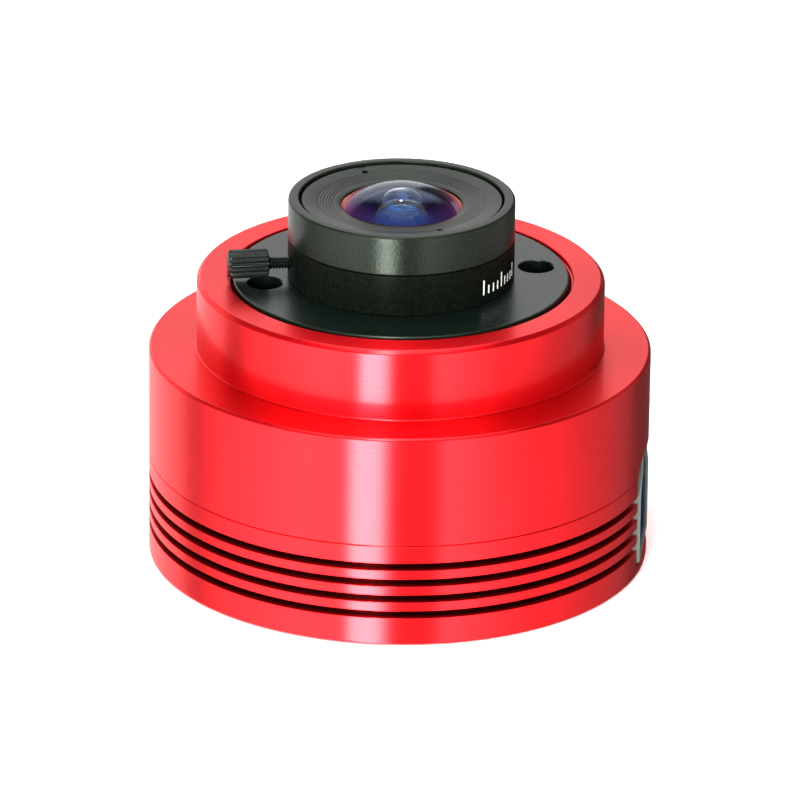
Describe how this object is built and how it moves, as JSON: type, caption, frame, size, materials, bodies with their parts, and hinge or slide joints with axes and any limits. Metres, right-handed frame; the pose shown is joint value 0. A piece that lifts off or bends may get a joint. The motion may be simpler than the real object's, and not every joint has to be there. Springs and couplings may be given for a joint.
{
  "type": "cooled astronomy camera",
  "caption": "Round finned red camera body with a stepped threaded nose, an adapter plate and a small wide-angle lens with focus ring and lock screw.",
  "frame": {"origin": "centre of the flat base", "axes": "+Z along the optical axis from the base towards the lens; +X to the side with the USB socket; the lock screw points to -X"},
  "size_m": [0.0622, 0.062, 0.0478],
  "materials": {
    "red_anodised": "gloss red anodising",
    "black_anodised": "satin black anodising",
    "satin_black": "fine satin black anodising",
    "steel": "stainless",
    "brass": "bright, gold plated on contacts",
    "copper": "copper, bare",
    "bare_aluminium": "bare, machined",
    "coated_glass": "optical glass with a blue and magenta coating",
    "clear_glass": "optical glass, clear",
    "blue_plastic": "moulded, blue",
    "black_plastic": "moulded, black",
    "nylon": "natural nylon",
    "rubber": "black silicone",
    "foam": "closed-cell foam",
    "ceramic": "alumina, white",
    "circuit_board": "glass-epoxy board with solder mask",
    "thermal_pad": "soft gap filler",
    "polyimide": "polyimide ribbon",
    "silicon": "polished silicon",
    "cooler_elements": "pellets and their solder"
  },
  "bodies": {
    "root": {"rear_housing": "red_anodised", "front_housing": "red_anodised", "tripod_insert": "steel", "lens_adapter": "black_anodised", "window_seal": "rubber", "protective_window": "clear_glass", "window_retainer": "black_anodised", "lens_base": "black_anodised", "guide_pin": "steel", "usb_shell": "steel", "usb_insert": "blue_plastic", "guide_jack": "black_plastic", "guide_contacts": "brass", "power_jack": "black_plastic", "power_pin": "brass", "sensor_board": "circuit_board", "sensor_package": "ceramic", "sensor_die": "silicon", "sensor_glass": "clear_glass", "chamber_gasket": "foam", "cold_finger": "copper", "cooler_cold_plate": "ceramic", "cooler_pellets": "cooler_elements", "cooler_hot_plate": "ceramic", "insulating_ring": "foam", "heat_spreader": "bare_aluminium", "main_board": "circuit_board", "processor_chip": "black_plastic", "memory_chip": "black_plastic", "usb_chip": "black_plastic", "inductor": "foam", "thermal_pad": "thermal_pad", "main_flex_socket": "black_plastic", "sensor_flex_socket": "black_plastic", "flex_cable": "polyimide", "housing_screw_1": "steel", "housing_screw_2": "steel", "housing_screw_3": "steel", "housing_screw_4": "steel", "sensor_spacer_1": "brass", "sensor_screw_1": "steel", "board_screw_1": "steel", "sensor_spacer_2": "brass", "sensor_screw_2": "steel", "board_screw_2": "steel", "sensor_spacer_3": "brass", "sensor_screw_3": "steel", "board_screw_3": "steel"},
    "optical_cell": {"optical_cell": "black_anodised", "cell_clip": "steel", "front_retainer": "black_anodised", "front_meniscus": "coated_glass", "second_element": "clear_glass", "lens_spacer_ring": "bare_aluminium", "rear_doublet": "clear_glass", "rear_retainer": "black_anodised"},
    "focus_ring": {"focus_ring": "satin_black"},
    "lock_pad": {"lock_pad": "nylon"},
    "lock_screw": {"lock_screw": "black_anodised"}
  },
  "joints": [
    {"name": "focus_travel", "type": "slide", "parent": "root", "child": "optical_cell", "axis": [0, 0, 1], "range_m": [0, 0.00091666]},
    {"name": "focus_turn", "type": "hinge", "parent": "optical_cell", "child": "focus_ring", "pos_m": [0, 0, 0.0435], "axis": [0, 0, 1], "range_deg": [0, 330]},
    {"name": "lock_travel", "type": "slide", "parent": "root", "child": "lock_pad", "axis": [-0.9925, -0.1219, 0], "range_m": [0, 0.00052499]},
    {"name": "lock_turn", "type": "hinge", "parent": "lock_pad", "child": "lock_screw", "pos_m": [0, 0, 0.0382], "axis": [-0.9925, -0.1219, 0], "range_deg": [0, 540]}
  ],
  "couplings": [
    {"joint": "focus_turn", "follows": "focus_travel", "rad_per_m": 6283.2},
    {"joint": "lock_turn", "follows": "lock_travel", "rad_per_m": 17952}
  ]
}
